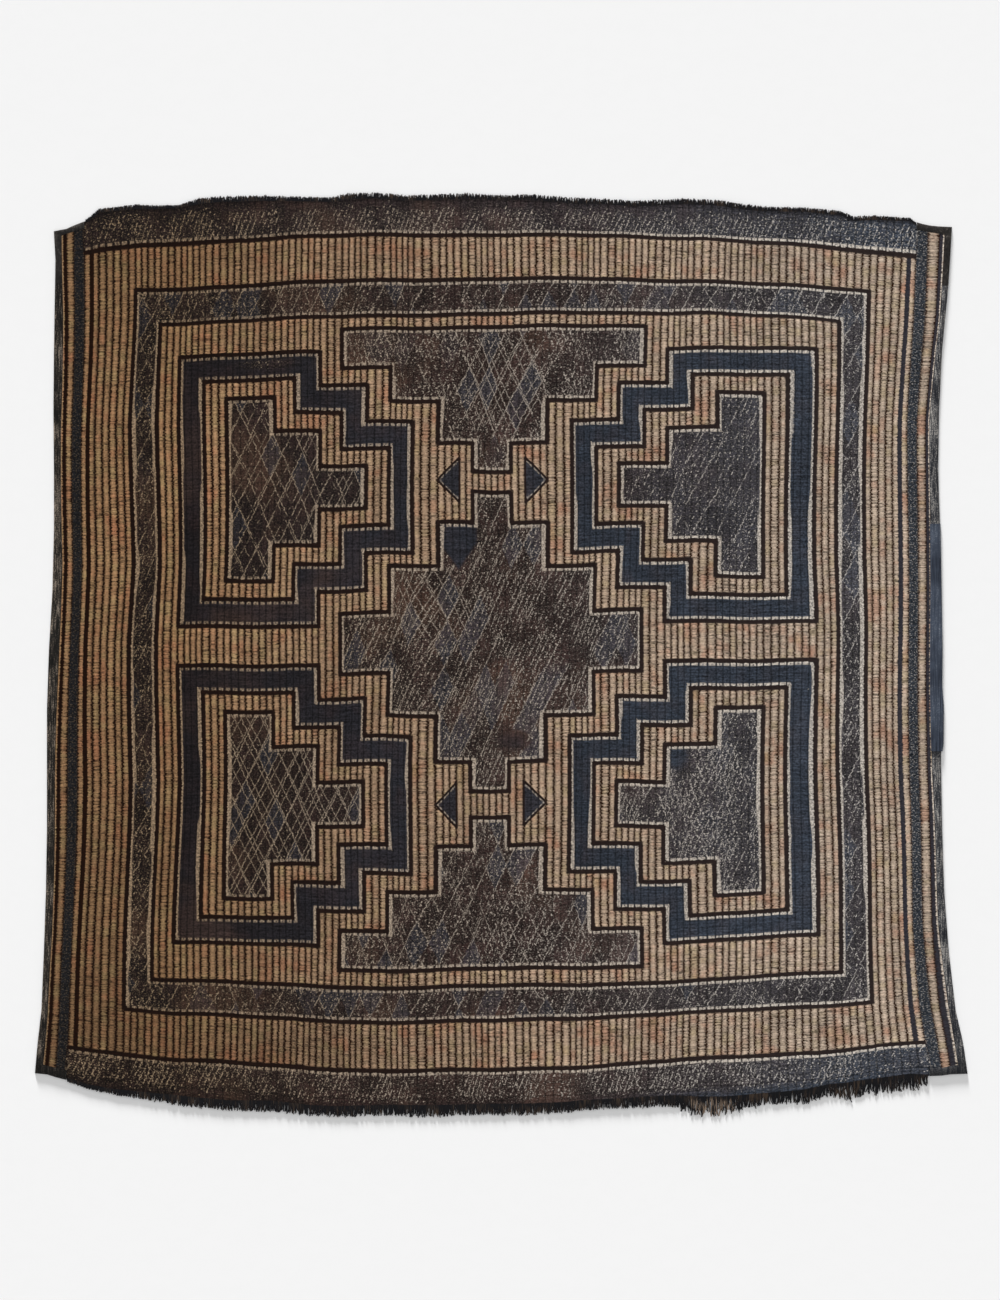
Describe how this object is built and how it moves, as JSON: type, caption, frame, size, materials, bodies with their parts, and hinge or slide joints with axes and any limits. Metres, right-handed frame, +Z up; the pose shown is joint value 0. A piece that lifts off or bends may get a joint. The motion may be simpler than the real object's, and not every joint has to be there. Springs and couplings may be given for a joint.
{
  "type": "reed and leather mat",
  "caption": "Flat square mat of reeds bound in columns by leather strips, with leather edge bindings, a side mend and short fringed ends.",
  "frame": {"origin": "on the floor, under the middle of the mat's bounding box", "axes": "+X to the right across the mat, along the reeds; +Y to its top end, along the leather strips; +Z up off the floor"},
  "size_m": [1.866, 1.8514, 0.0064],
  "materials": {
    "woven_field": "dry reeds and worn dark leather strips",
    "band_leather": "matt blue-black",
    "binding_leather": "worn black",
    "mend_leather": "faded blue-grey"
  },
  "bodies": {
    "root": {"mat_field": "woven_field", "fringe_top": "band_leather", "fringe_bottom": "band_leather", "binding_left": "binding_leather", "binding_right": "binding_leather", "corner_cap_left": "binding_leather", "corner_cap_right": "binding_leather", "edge_mend": "mend_leather"}
  },
  "joints": []
}
